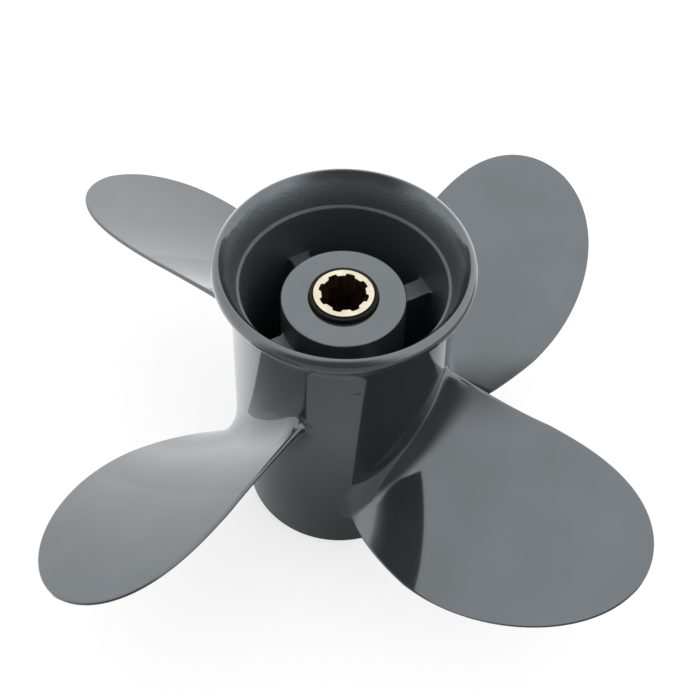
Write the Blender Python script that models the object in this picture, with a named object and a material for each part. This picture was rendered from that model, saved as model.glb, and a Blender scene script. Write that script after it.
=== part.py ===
"""Four-blade outboard motor propeller with its exhaust barrel, rubber bush and splined sleeve.

+Z runs aft along the shaft, and the origin is the centre of the barrel's front end, where the
propeller stands. Blade sections lie on cylinders about the axis, as a propeller drawing gives them.
"""

from math import asin, cos, pi, radians, sin, tan

import bmesh
import bpy
import numpy as np

mm = 0.001
GAP = 0.3 * mm  # clearance kept between neighbouring solids

# Blades
BLADES = 4
FIRST_BLADE_ANGLE = radians(-51.5)
TIP_RADIUS = 117.5 * mm
PITCH = 273.0 * mm
BLADE_ROOT_RADIUS = 34.4 * mm  # where the blade's middle line leaves the barrel
BLADE_MID_HEIGHT = 50.3 * mm  # and how high
RAKE = 0.125  # rise of the middle line for each unit of radius
RAKE_CURVE = -0.54 / 1000  # its change, for each mm of radius
SKEW = (-0.024, 0.384, -0.195)  # turn of the middle line in radians, as a cubic of the span
WIDEST_RADIUS = 70.1 * mm
HALF_CHORD = 33.9 * mm
ROOT_HALF_CHORD = 31.4 * mm
TIP_POWERS = (2.32, 1.99)  # the superellipse that closes the blade's outline
ROOT_POWER = 0.9  # how the blade narrows to its root
ROOT_THICKNESS = 7.6 * mm
TIP_THICKNESS = 2.0 * mm
THICKNESS_POWER = 0.8  # how the thickness falls along the span
CAMBER_POWER = 0.9  # how the suction face rounds over between the edges
ROOT_EDGE = 2.8 * mm  # the edges' thickness at the barrel
TIP_EDGE = 1.2 * mm
EDGE_FALL = 6.0 * mm  # distance from the barrel in which the extra edge thickness falls away
FACE_SWELL = 3.5 * mm  # how far the pressure face swells at the root
SWELL_FADE = 3.0  # how soon that fades towards the tip
LEADING_NOSE = 6.0 * mm  # root fillet round the leading edge
TRAILING_NOSE = 1.7 * mm
BACK_FILLET = 4.0 * mm  # along the suction face
FACE_RISES = (7.0 * mm, 12.0 * mm)  # its height on the pressure face, at the leading and trailing edges
FACE_FILLET = 6.0 * mm  # its width there, at FILLET_TURN along the chord
FILLET_TURN = 0.2
LEADING_FILLET = 4.0 * mm  # what it gains from there to the leading edge
LEADING_GROWTH = 1.2
TRAILING_FILLET = 3.2 * mm  # and loses towards the trailing edge
FILLET_WINDOWS = (6, 30)  # how late the fillet narrows to each edge
CHORD_STATIONS = 17
SPAN_STATIONS = 15
FILLET_RINGS = 7
CAP_STRIPS = 8
SLOPE_STEP = 0.05 * mm
WELD = 0.002 * mm  # points nearer than this are one

# Barrel: the outer tube that carries the blades and flares out at its aft end
BARREL_RADIUS = 35.0 * mm  # at its fullest, BARREL_FULL above the front
BARREL_FULL = 35.0 * mm
DRAFT = radians(0.7)  # narrowing aft of the fullest place
FRONT_TAPER = 3.5 * mm
FRONT_ROUND = 2.3 * mm
FLARE_START = 98.0 * mm
FLARE_STATIONS = 6
TAPER_STATIONS = 6
BARREL_TOP = 111.8 * mm
RIM_RADIUS = 39.5 * mm
LIP_ROUND = 3.2 * mm  # the lip's outer rounding
LIP_STATIONS = 8
CREST_ROUND = 0.5 * mm
CREST_TILT = radians(25)  # how far out the lip leans where the crest's rounding begins
RIM_HEIGHT = BARREL_TOP - CREST_ROUND - (LIP_ROUND - CREST_ROUND) * cos(CREST_TILT)
CORNER_STATIONS = 5
BELL_TOP_TILT = radians(52)  # how far the bell's normal leans in, under the lip
BELL_FOOT_TILT = radians(80)  # and at its foot
STEP_HOLLOW = 0.5 * mm  # radius of the hollow corner between the bell and the step
STEP_HEIGHT = 101.0 * mm
STEP_RADIUS = 31.6 * mm
THROAT_RADIUS = 31.4 * mm
STEP_EDGE = 0.4 * mm
WALL_FRONT_RADIUS = 27.6 * mm
WALL_MID_RADIUS = 29.8 * mm
WALL_MID_HEIGHT = 36.0 * mm
WALL_RIB_RADIUS = 30.4 * mm  # at the ribs' aft ends
BARREL_STEPS = 72

# Inner hub and the ribs that hold it in the barrel
HUB_FRONT = 3.0 * mm
HUB_FACE = 94.5 * mm
HUB_RADIUS = 19.3 * mm
HUB_FRONT_RADIUS = 20.0 * mm
HUB_EDGE = 0.5 * mm
BUSH_BORE = 15.5 * mm
BUSH_SHOULDER = 84.0 * mm
SHOULDER_RISE = 2.0 * mm
FACE_BORE = 10.7 * mm
HUB_STEPS = 64
RIBS = 4
FIRST_RIB_ANGLE = radians(30.5)
RIB_THICKNESS = 6.6 * mm
RIB_FLARE = 1.2 * mm  # how far each face spreads where the rib meets the barrel and the hub
RIB_FLARE_LENGTH = 1.8 * mm
RIB_END_STATIONS = 5
RIB_FRONT = 6.0 * mm
RIB_AFT = 84.0 * mm
RIB_EDGE = 0.5 * mm

# Rubber bush and the splined sleeve inside it
BUSH_FRONT = 8.0 * mm
BUSH_AFT = 96.0 * mm  # it stands a little proud of the hub's face
SLEEVE_RADIUS = 9.45 * mm
SLEEVE_FRONT = 2.0 * mm
SLEEVE_AFT = 96.5 * mm
SLEEVE_EDGE = 0.4 * mm
SPLINE_TEETH = 8
SPLINE_MINOR = 6.7 * mm  # radius at the teeth
SPLINE_MAJOR = 7.6 * mm  # radius at the grooves' floors
SPLINE_TURN = radians(7.9)  # where the first tooth points
SPLINE_STEEPNESS = 3.2  # of the teeth's flanks
SLEEVE_STEPS = 128


def clear_scene():
    for thing in list(bpy.data.objects):
        bpy.data.objects.remove(thing, do_unlink=True)


def finish(name, colour, roughness, metallic):
    """A Principled material of one colour."""
    material = bpy.data.materials.new(name)
    material.use_nodes = True
    shader = material.node_tree.nodes["Principled BSDF"]
    shader.inputs["Base Color"].default_value = (*colour, 1)
    shader.inputs["Roughness"].default_value = roughness
    shader.inputs["Metallic"].default_value = metallic
    return material


def add_object(name, mesh, material, angle=0.0):
    """Puts a mesh in the scene under a node's name, turned about the shaft."""
    mesh.materials.clear()
    mesh.materials.append(material)
    mesh.shade_smooth()
    mesh.set_sharp_from_angle(angle=radians(35))
    thing = bpy.data.objects.new(name, mesh)
    thing.rotation_euler.z = angle
    bpy.context.collection.objects.link(thing)
    return thing


def turned(name, profile, steps, material):
    """A closed outline of (radius, height) points, spun once round the shaft."""
    mesh = bpy.data.meshes.new(name)
    corners = [(radius, 0, height) for radius, height in profile]
    edges = [(i, (i + 1) % len(corners)) for i in range(len(corners))]
    mesh.from_pydata(corners, edges, [])
    mesh.materials.append(material)
    thing = bpy.data.objects.new(name, mesh)
    bpy.context.collection.objects.link(thing)
    screw = thing.modifiers.new("Turn", "SCREW")
    screw.axis = "Z"
    screw.angle = 2 * pi
    screw.steps = steps
    screw.render_steps = steps
    screw.use_merge_vertices = True
    screw.merge_threshold = WELD
    screw.use_smooth_shade = True
    return thing


def grid_faces(rows, columns, closed_columns):
    """Quads of a grid of points, as corner numbers; closed_columns joins the last column to the first."""
    quads = []
    for row in range(rows - 1):
        for column in range(columns if closed_columns else columns - 1):
            after = (column + 1) % columns
            low, high = row * columns, (row + 1) * columns
            quads.append((low + column, low + after, high + after, high + column))
    return quads


def draft_radius(height):
    """Radius of the barrel's straight side, which narrows aft so that the casting leaves its mould."""
    return BARREL_RADIUS - tan(DRAFT) * (height - BARREL_FULL)


def flare_radius():
    """Radius of the hollow flare, which touches the straight side below and the lip's rounding above."""
    reach = RIM_RADIUS - LIP_ROUND - draft_radius(FLARE_START)
    rise = RIM_HEIGHT - FLARE_START
    return (rise**2 + reach**2 - LIP_ROUND**2) / (2 * (reach + LIP_ROUND))


def barrel_radius(height):
    """Outer radius of the barrel: a slight draft aft, a taper to the front and the flare."""
    height = np.asarray(height, float)
    forward = np.clip((BARREL_FULL - height) / BARREL_FULL, 0, None)
    flare = flare_radius()
    rise = np.clip(height - FLARE_START, 0, flare)
    side = draft_radius(np.maximum(height, BARREL_FULL)) - FRONT_TAPER * forward**2
    return side + flare - np.sqrt(flare**2 - rise**2)


def wall_radius(height):
    """Inner radius of the barrel below the step."""
    heights = (0, WALL_MID_HEIGHT, RIB_AFT, STEP_HEIGHT)
    radii = (WALL_FRONT_RADIUS, WALL_MID_RADIUS, WALL_RIB_RADIUS, THROAT_RADIUS)
    return np.interp(height, heights, radii)


def arc(centre_radius, centre_height, radius, start, stop, points):
    """Points of a circular corner in the turning plane, angles measured from straight outward."""
    turns = np.linspace(start, stop, points)
    return [
        (centre_radius + radius * cos(turn), centre_height + radius * sin(turn)) for turn in turns
    ]


def tilt_arc(start, radius, tilts):
    """An arc from start, by how far its normal leans in from upright; a negative radius is hollow."""
    return [
        (
            start[0] - radius * (sin(tilt) - sin(tilts[0])),
            start[1] + radius * (cos(tilt) - cos(tilts[0])),
        )
        for tilt in tilts
    ]


def mouth_line():
    """Over the lip's crest, down the bell and round the hollow corner to the step."""
    start = (
        RIM_RADIUS - LIP_ROUND * (1 - sin(CREST_TILT)),
        RIM_HEIGHT + LIP_ROUND * cos(CREST_TILT),
    )
    lip = tilt_arc(start, CREST_ROUND, np.linspace(-CREST_TILT, BELL_TOP_TILT, CORNER_STATIONS))
    fall = lip[-1][1] - STEP_HEIGHT - STEP_HOLLOW * (1 - cos(BELL_FOOT_TILT))
    bell_radius = fall / (cos(BELL_TOP_TILT) - cos(BELL_FOOT_TILT))
    bell = tilt_arc(lip[-1], bell_radius, np.linspace(BELL_TOP_TILT, BELL_FOOT_TILT, CORNER_STATIONS))
    corner = tilt_arc(bell[-1], -STEP_HOLLOW, np.linspace(BELL_FOOT_TILT, 0, CORNER_STATIONS))
    return lip + bell[1:] + corner[1:]


def barrel_profile():
    """Outer side from the lip down to the front, the wall back up to the step, then the mouth."""
    lean = asin((RIM_HEIGHT - FLARE_START) / (flare_radius() + LIP_ROUND))
    centre_radius = RIM_RADIUS - LIP_ROUND
    lip = arc(centre_radius, RIM_HEIGHT, LIP_ROUND, pi / 2 - CREST_TILT, -lean, LIP_STATIONS)
    flare = np.linspace(lip[-1][1], FLARE_START, FLARE_STATIONS)[1:]
    taper = np.linspace(BARREL_FULL, FRONT_ROUND, TAPER_STATIONS)[:-1]
    side = [(float(barrel_radius(height)), float(height)) for height in (*flare, *taper)]
    foot_radius = float(barrel_radius(FRONT_ROUND))
    foot = arc(foot_radius - FRONT_ROUND, FRONT_ROUND, FRONT_ROUND, 0, -pi / 2, CORNER_STATIONS)
    levels = (0, WALL_MID_HEIGHT, RIB_AFT, STEP_HEIGHT - STEP_EDGE)
    wall = [(float(wall_radius(height)), height) for height in levels]
    return lip + side + foot + wall + [(STEP_RADIUS, STEP_HEIGHT)] + mouth_line()[:0:-1]


def hub_profile():
    """The inner hub: outer side down, then up the bush's bore and over its shoulder."""
    return [
        (FACE_BORE, HUB_FACE),
        (HUB_RADIUS - HUB_EDGE, HUB_FACE),
        (HUB_RADIUS, HUB_FACE - HUB_EDGE),
        (HUB_FRONT_RADIUS, HUB_FRONT + HUB_EDGE),
        (HUB_FRONT_RADIUS - HUB_EDGE, HUB_FRONT),
        (BUSH_BORE, HUB_FRONT),
        (BUSH_BORE, BUSH_SHOULDER),
        (FACE_BORE, BUSH_SHOULDER + SHOULDER_RISE),
    ]


def bush_profile():
    """The rubber: it fills the bore and shows as a narrow collar round the sleeve."""
    inner = SLEEVE_RADIUS + GAP
    outer = BUSH_BORE - GAP
    neck = FACE_BORE - GAP
    return [
        (inner, BUSH_AFT),
        (neck, BUSH_AFT),
        (neck, BUSH_SHOULDER + SHOULDER_RISE - GAP),
        (outer, BUSH_SHOULDER - 2 * GAP),
        (outer, BUSH_FRONT),
        (inner, BUSH_FRONT),
    ]


def hub_outer(height):
    """Outer radius of the inner hub, which has the mould's draft."""
    return np.interp(height, (HUB_FRONT, HUB_FACE), (HUB_FRONT_RADIUS, HUB_RADIUS))


def rib_outline(height, reach):
    """A level cut through a rib: it spreads where it meets the barrel's wall and the inner hub."""
    outer = wall_radius(height) - 2 * GAP
    inner = hub_outer(height) + GAP
    across = np.linspace(-reach - RIB_FLARE, reach + RIB_FLARE, RIB_END_STATIONS)
    sides = [outer - RIB_FLARE_LENGTH, inner + RIB_FLARE_LENGTH]
    outline = [(np.sqrt(outer**2 - y**2), y, height) for y in across]
    outline += [(x, reach, height) for x in sides]
    outline += [(np.sqrt(inner**2 - y**2), y, height) for y in across[::-1]]
    outline += [(x, -reach, height) for x in sides[::-1]]
    return outline


def rib_mesh():
    """A radial web between the inner hub and the barrel, with broken edges fore and aft."""
    half = RIB_THICKNESS / 2
    levels = [
        rib_outline(RIB_FRONT, half - RIB_EDGE),
        rib_outline(RIB_FRONT + RIB_EDGE, half),
        rib_outline(WALL_MID_HEIGHT, half),
        rib_outline(RIB_AFT - RIB_EDGE, half),
        rib_outline(RIB_AFT, half - RIB_EDGE),
    ]
    points = [point for level in levels for point in level]
    ring = len(levels[0])
    faces = grid_faces(len(levels), ring, True)
    faces.append(tuple(range(ring))[::-1])
    faces.append(tuple(range((len(levels) - 1) * ring, len(levels) * ring)))
    mesh = bpy.data.meshes.new("rib")
    mesh.from_pydata(points, [], faces)
    return mesh


def span_share(radius):
    """0 at the barrel, 1 at the tip."""
    return (radius - BLADE_ROOT_RADIUS) / (TIP_RADIUS - BLADE_ROOT_RADIUS)


def half_chord(radius):
    """Half the blade's width, measured along the section at a radius."""
    outer = np.clip((radius - WIDEST_RADIUS) / (TIP_RADIUS - WIDEST_RADIUS), 0, 1)
    inner = np.clip((WIDEST_RADIUS - radius) / (WIDEST_RADIUS - BLADE_ROOT_RADIUS), 0, None)
    tip = HALF_CHORD * np.clip(1 - outer ** TIP_POWERS[0], 0, 1) ** (1 / TIP_POWERS[1])
    return tip - (HALF_CHORD - ROOT_HALF_CHORD) * inner**ROOT_POWER


def section_point(radius, along, across):
    """Angle and height of a blade point, from its place along and across the section's chord."""
    share = span_share(radius)
    skew = SKEW[0] * share + SKEW[1] * share**2 + SKEW[2] * share**3
    out = radius - BLADE_ROOT_RADIUS
    rake = RAKE * out + RAKE_CURVE / mm * out**2
    climb = np.arctan2(PITCH, 2 * pi * radius)
    turn = (along * np.cos(climb) - across * np.sin(climb)) / radius
    height = BLADE_MID_HEIGHT + rake + PITCH / (2 * pi) * skew
    return skew + turn, height + along * np.sin(climb) + across * np.cos(climb)


def section_loop(radius, shares):
    """Places along and across the chord, once round a section: pressure face, then suction face."""
    reach = half_chord(radius)
    slope = (half_chord(radius) - half_chord(radius - SLOPE_STEP)) / SLOPE_STEP
    inside = reach * (1 - abs(shares)) / np.sqrt(1 + slope**2)
    span = np.clip(span_share(radius), 0, 1)
    edge = TIP_EDGE + (ROOT_EDGE - TIP_EDGE) * np.exp((BARREL_RADIUS - radius) / EDGE_FALL)
    full = ROOT_THICKNESS + (TIP_THICKNESS - ROOT_THICKNESS) * span**THICKNESS_POWER
    roundness = np.sqrt(1 - np.clip(1 - 2 * inside / edge, 0, 1) ** 2)
    near = (1 - roundness) * edge / 2 - face_swell(shares, span)
    far = (1 + roundness) * edge / 2 + (full - edge) * (1 - shares**2) ** CAMBER_POWER
    return reach * shares, -np.where(on_pressure_face(), near, far)


def face_swell(shares, span):
    """How far the pressure face stands out, most over its leading half at the root."""
    bulge = 27 / 32 * (1 - shares) ** 2 * (1 + shares)  # 1 at its highest, where the share is -1/3
    return FACE_SWELL * bulge * (1 - span) ** SWELL_FADE


def on_pressure_face():
    """Which places round a section lie on the pressure face."""
    return np.arange(2 * CHORD_STATIONS - 2) < CHORD_STATIONS


def root_fillet(shares):
    """The root fillet's width along the barrel and its height above it, at each place round a section."""
    ahead = np.clip((FILLET_TURN - shares) / (FILLET_TURN + 1), 0, 1)
    behind = np.clip((shares - FILLET_TURN) / (1 - FILLET_TURN), 0, 1)
    face = FACE_FILLET + LEADING_FILLET * ahead**LEADING_GROWTH - TRAILING_FILLET * behind
    width = np.where(on_pressure_face(), face, BACK_FILLET)
    height = np.where(on_pressure_face(), np.interp(shares, (-1, 1), FACE_RISES), BACK_FILLET)
    nose = np.interp(shares, (-1, 1), (LEADING_NOSE, TRAILING_NOSE))
    window = 1 - abs(shares) ** np.where(shares < 0, *FILLET_WINDOWS)
    return nose + (width - nose) * window, nose + (height - nose) * window


def loop_shares():
    """Places round a section, from the leading edge over the pressure face and back."""
    face = np.sin(np.linspace(-pi / 2, pi / 2, CHORD_STATIONS))
    return np.concatenate([face, face[-2:0:-1]])


def outward(turn, height):
    """Unit normals of the root's closed loop, on the barrel's surface unrolled flat."""
    flat = np.stack([turn * BARREL_RADIUS, height], axis=1)
    tangent = np.roll(flat, -1, axis=0) - np.roll(flat, 1, axis=0)
    normal = np.stack([-tangent[:, 1], tangent[:, 0]], axis=1)
    return normal / np.linalg.norm(normal, axis=1)[:, None]


def blade_rings():
    """Loops of (radius, angle, height) from the foot of the root fillet, a quarter ellipse, to the tip."""
    shares = loop_shares()
    along, across = section_loop(np.full(len(shares), BARREL_RADIUS), shares)
    turn, height = section_point(BARREL_RADIUS, along, across)
    normal = outward(turn, height)
    reach, rise = root_fillet(shares)
    rings = []
    for bend in np.linspace(pi / 2, 0, FILLET_RINGS):
        lift = rise * (1 - sin(bend))
        spread = reach * (1 - cos(bend))
        radius = barrel_radius(height) + GAP + lift
        along, across = section_loop(radius, shares)
        ring_turn, ring_height = section_point(radius, along, across)
        ring_turn = ring_turn + normal[:, 0] * spread / radius
        ring_height = ring_height + normal[:, 1] * spread
        rings.append((barrel_radius(ring_height) + GAP + lift, ring_turn, ring_height))
    for share in np.sin(np.linspace(0, pi / 2, SPAN_STATIONS))[1:]:
        radius = barrel_radius(height) + GAP + rise
        radius = radius + (TIP_RADIUS - radius) * share
        along, across = section_loop(radius, shares)
        rings.append((radius, *section_point(radius, along, across)))
    return rings


def on_shaft(radius, turn, height):
    """Cartesian points from radius, angle and height."""
    return np.stack([radius * np.cos(turn), radius * np.sin(turn), height], axis=-1)


def blade_mesh():
    """One blade as a closed mesh, its foot lying along the barrel."""
    rings = blade_rings()
    around = len(rings[0][0])
    points = np.concatenate([on_shaft(*ring) for ring in rings])
    faces = grid_faces(len(rings), around, True)
    mesh = bpy.data.meshes.new("blade")
    shell = bmesh.new()
    corners = [shell.verts.new(point) for point in points]
    for face in faces:
        shell.faces.new([corners[i] for i in face])
    close_foot(shell, corners, rings[0])
    bmesh.ops.remove_doubles(shell, verts=shell.verts, dist=WELD)
    bmesh.ops.recalc_face_normals(shell, faces=shell.faces)
    shell.to_mesh(mesh)
    shell.free()
    return mesh


def close_foot(shell, corners, ring):
    """Strips across the foot, from the pressure side to the suction side, along the barrel."""
    _, turn, height = ring
    around = len(turn)
    columns = []
    for station in range(CHORD_STATIONS):
        other = (around - station) % around
        column = [corners[station]]
        for share in np.linspace(0, 1, CAP_STRIPS + 1)[1:-1]:
            middle_turn = turn[station] + (turn[other] - turn[station]) * share
            middle_height = height[station] + (height[other] - height[station]) * share
            radius = barrel_radius(middle_height) + GAP
            if station not in (0, CHORD_STATIONS - 1):
                column.append(shell.verts.new(on_shaft(radius, middle_turn, middle_height)))
        column.append(corners[other])
        columns.append(column)
    for first, second in zip(columns, columns[1:]):
        join_columns(shell, first, second)


def join_columns(shell, first, second):
    """Quads between two rows of corners; a row that is one point makes triangles."""
    if first[0] is first[-1]:
        first = [first[0]] * len(second)
    if second[0] is second[-1]:
        second = [second[0]] * len(first)
    for a, b, c, d in zip(first, second, second[1:], first[1:]):
        corners = list(dict.fromkeys((a, b, c, d)))
        shell.faces.new(corners)


def spline_outline():
    """The bore: square grooves between teeth of the same width that point at the shaft."""
    turns = SPLINE_TURN + np.linspace(0, 2 * pi, SLEEVE_STEPS, endpoint=False)
    wave = np.clip(SPLINE_STEEPNESS * np.cos(SPLINE_TEETH * (turns - SPLINE_TURN)), -1, 1)
    radius = (SPLINE_MAJOR + SPLINE_MINOR) / 2 - (SPLINE_MAJOR - SPLINE_MINOR) / 2 * wave
    return radius, turns


def sleeve_mesh():
    """The sleeve: a round outside with broken edges and the spline cut right through."""
    bore, turns = spline_outline()
    levels = [
        (bore, SLEEVE_FRONT),
        (bore, SLEEVE_AFT),
        (SLEEVE_RADIUS - SLEEVE_EDGE + 0 * bore, SLEEVE_AFT),
        (SLEEVE_RADIUS + 0 * bore, SLEEVE_AFT - SLEEVE_EDGE),
        (SLEEVE_RADIUS + 0 * bore, SLEEVE_FRONT + SLEEVE_EDGE),
        (SLEEVE_RADIUS - SLEEVE_EDGE + 0 * bore, SLEEVE_FRONT),
        (bore, SLEEVE_FRONT),
    ]
    points = np.concatenate([on_shaft(radius, turns, height + 0 * turns) for radius, height in levels])
    mesh = bpy.data.meshes.new("sleeve")
    shell = bmesh.new()
    corners = [shell.verts.new(point) for point in points]
    for face in grid_faces(len(levels), SLEEVE_STEPS, True):
        shell.faces.new([corners[i] for i in face])
    bmesh.ops.remove_doubles(shell, verts=shell.verts, dist=WELD)
    bmesh.ops.recalc_face_normals(shell, faces=shell.faces)
    shell.to_mesh(mesh)
    shell.free()
    return mesh


def build():
    clear_scene()
    paint = finish("painted_casting", (0.21, 0.225, 0.235), 0.22, 0.0)
    rubber = finish("black_rubber", (0.01, 0.01, 0.011), 0.7, 0.0)
    brass = finish("brass_sleeve", (0.75, 0.68, 0.5), 0.3, 1.0)
    turned("outer_hub", barrel_profile(), BARREL_STEPS, paint)
    turned("inner_hub", hub_profile(), HUB_STEPS, paint)
    rib = rib_mesh()
    for number in range(RIBS):
        add_object(f"rib_{number + 1}", rib, paint, FIRST_RIB_ANGLE + number * 2 * pi / RIBS)
    blade = blade_mesh()
    for number in range(BLADES):
        turn = FIRST_BLADE_ANGLE + number * 2 * pi / BLADES
        add_object(f"blade_{number + 1}", blade, paint, turn)
    turned("rubber_bush", bush_profile(), HUB_STEPS, rubber)
    add_object("spline_sleeve", sleeve_mesh(), brass)


build()
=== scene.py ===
import math

import bpy
import numpy as np
from mathutils import Matrix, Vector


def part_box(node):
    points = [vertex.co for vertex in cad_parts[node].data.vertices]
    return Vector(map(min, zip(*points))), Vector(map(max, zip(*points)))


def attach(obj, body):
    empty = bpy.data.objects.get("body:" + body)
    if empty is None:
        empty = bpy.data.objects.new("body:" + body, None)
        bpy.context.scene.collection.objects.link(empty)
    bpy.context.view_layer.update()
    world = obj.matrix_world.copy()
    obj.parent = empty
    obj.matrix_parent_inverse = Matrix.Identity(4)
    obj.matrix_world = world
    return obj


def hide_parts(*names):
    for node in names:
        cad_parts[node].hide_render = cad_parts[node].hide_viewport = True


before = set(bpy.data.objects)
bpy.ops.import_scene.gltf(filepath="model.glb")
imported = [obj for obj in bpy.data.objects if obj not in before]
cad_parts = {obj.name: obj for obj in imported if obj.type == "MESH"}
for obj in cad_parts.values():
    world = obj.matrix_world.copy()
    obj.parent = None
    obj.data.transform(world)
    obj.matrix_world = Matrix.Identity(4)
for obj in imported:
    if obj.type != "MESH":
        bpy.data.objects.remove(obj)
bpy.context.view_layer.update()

# Outboard motor propeller: one painted aluminium casting, a rubber bush and a splined brass sleeve.
# Sizes below are in millimetres and angles in degrees; the meshes are written in metres.
# +Z runs aft along the shaft, and z = 0 is the barrel's front end, on the floor.

millimetre = 0.001
seam = 0.01  # mm left open between the last and the first point of a closed profile


def turnedSize(node):
    # radius, lowest and highest z of a round CAD node, in mm
    low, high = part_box(node)
    return high.x / millimetre, low.z / millimetre, high.z / millimetre


print("frame loaded:", len(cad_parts), "nodes")


# Shape tools

def arcPoints(centre, radius, start, stop, count):
    # (r, z) points at equal angles on a circle in the turning plane
    turn = np.radians(np.linspace(start, stop, count))
    return np.stack([centre[0] + radius * np.cos(turn), centre[1] + radius * np.sin(turn)], axis=1)


def roundedLine(corners, steps=7, support=0.25):
    # a polyline whose corners (r, z, rounding) become arcs, each straight run with close points at its ends
    corners = np.array(corners, float)
    place, rounding = corners[:, :2], corners[:, 2]
    runs = []
    for number in range(len(corners)):
        here = place[number]
        if rounding[number] == 0 or number in (0, len(corners) - 1):
            runs.append(here[None])
            continue
        back = place[number - 1] - here
        ahead = place[number + 1] - here
        back, ahead = back / np.linalg.norm(back), ahead / np.linalg.norm(ahead)
        half = np.arccos(np.clip(back @ ahead, -1, 1)) / 2
        reach = rounding[number] / np.tan(half)
        bisector = (back + ahead) / np.linalg.norm(back + ahead)
        centre = here + bisector * rounding[number] / np.sin(half)
        first, last = here + back * reach - centre, here + ahead * reach - centre
        share = np.linspace(0, 1, steps)[:, None]
        turn = np.pi - 2 * half
        arc = (np.sin((1 - share) * turn) * first + np.sin(share * turn) * last) / np.sin(turn)
        runs.append(centre + arc)
    line = [runs[0]]
    for before, after in zip(runs, runs[1:]):
        start, stop = before[-1], after[0]
        length = np.linalg.norm(stop - start)
        near = min(support / max(length, 1e-6), 0.3)
        inner = np.array([near, 0.5, 1 - near])[:, None]
        if length > 4 * support:
            line.append(start + (stop - start) * inner)
        line.append(after)
    return np.concatenate(line)


def turnedSurface(profile, steps):
    # every profile point (r, z) carried round the shaft: (r cos a, r sin a, z)
    angle = np.linspace(0, 2 * np.pi, steps, endpoint=False)
    radius, height = profile[:, 0:1], profile[:, 1:2]
    return np.stack([radius * np.cos(angle), radius * np.sin(angle), height + 0 * angle], axis=2)


def onShaft(radius, angle, height):
    # points given by radius, angle and height: (r cos a, r sin a, z)
    return np.stack([radius * np.cos(angle), radius * np.sin(angle), height], axis=-1)


def gridNormals(points, closedRows):
    # outward: the cross product of the grid's two tangents; columns always close on themselves
    if closedRows:
        alongRows = np.roll(points, -1, axis=0) - np.roll(points, 1, axis=0)
    else:
        alongRows = np.gradient(points, axis=0)
    alongColumns = np.roll(points, -1, axis=1) - np.roll(points, 1, axis=1)
    normal = np.cross(alongRows, alongColumns)
    return normal / np.maximum(np.linalg.norm(normal, axis=2, keepdims=True), 1e-12)


def addPiece(name, points, normals, material, start="open", end="open", dryness=None):
    # a mesh from a grid of points whose columns close; start and end say how its first and last rows close:
    # "joined" to each other, "pole" to one point, or "folded" flat, with column j on column -j;
    # the corners go round each face the same way as gridNormals takes its tangents, so faces point outwards
    rows, columns = points.shape[:2]
    label = np.arange(rows * columns).reshape(rows, columns)
    for row, way in ((0, start), (rows - 1, end)):
        if way == "pole":
            label[row] = label[row, 0]
        if way == "folded":
            mirror = (columns - np.arange(columns)) % columns
            label[row] = np.minimum(label[row], label[row][mirror])
    if start == "joined":
        label = np.concatenate([label, label[:1]])
    across = np.roll(label, -1, axis=1)
    corners = np.stack([label[:-1], label[1:], across[1:], across[:-1]], axis=2).reshape(-1, 4)
    used, corners = np.unique(corners, return_inverse=True)
    corners = corners.reshape(-1, 4)
    vertices = points.reshape(-1, 3)[used]
    directions = normals.reshape(-1, 3)[used]
    # faces with two corners in one place become triangles, and those with fewer than three left are dropped
    same = corners == np.roll(corners, -1, axis=1)
    quads = corners[~same.any(axis=1)].tolist()
    triangles = corners[same.sum(axis=1) == 1]
    triangles = triangles[~same[same.sum(axis=1) == 1]].reshape(-1, 3).tolist()
    mesh = bpy.data.meshes.new(name)
    mesh.from_pydata((vertices * millimetre).tolist(), [], quads + triangles)
    mesh.shade_smooth()
    mesh.normals_split_custom_set_from_vertices(directions.tolist())
    mesh.materials.append(material)
    if dryness is not None:
        inside = np.repeat(np.asarray(dryness, float), columns)[used]
        mesh.attributes.new("dryness", "FLOAT", "POINT").data.foreach_set("value", inside)
    piece = bpy.data.objects.new(name, mesh)
    bpy.context.scene.collection.objects.link(piece)
    return piece


def seat(piece, slot, *nodes):
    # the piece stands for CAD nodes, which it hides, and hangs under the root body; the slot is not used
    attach(piece, "root")
    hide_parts(*nodes)
    return piece


# Materials

def linearColour(code):
    # sRGB hex to linear RGBA
    parts = np.array([int(code[place:place + 2], 16) for place in (1, 3, 5)]) / 255
    linear = np.where(parts <= 0.04045, parts / 12.92, ((parts + 0.055) / 1.055) ** 2.4)
    return (*linear.tolist(), 1.0)


def newMaterial(name):
    material = bpy.data.materials.new(name)
    material.use_nodes = True
    return material, material.node_tree, material.node_tree.nodes["Principled BSDF"]


def addNode(tree, kind, settings=None, inputs=None, links=None):
    # a node with its settings, its input values, and its links as {input: (node, output)}
    node = tree.nodes.new(kind)
    for key, value in (settings or {}).items():
        setattr(node, key, value)
    for key, value in (inputs or {}).items():
        node.inputs[key].default_value = value
    for key, (source, output) in (links or {}).items():
        tree.links.new(source.outputs[output], node.inputs[key])
    return node


def perMetre(millimetres):
    # a texture's scale for a pattern that repeats about every so many millimetres
    return 1 / (millimetres * millimetre)


def unevenness(tree, place, size, low, high, detail=2.0):
    # the middle of a soft noise, whose clouds are about one size in mm, spread between two values
    noise = addNode(tree, "ShaderNodeTexNoise", None, {"Scale": perMetre(size), "Detail": detail},
                    {"Vector": (place, "Object")})
    limits = {"From Min": 0.3, "From Max": 0.7, "To Min": low, "To Max": high}
    return addNode(tree, "ShaderNodeMapRange", None, limits, {"Value": (noise, "Fac")})


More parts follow.
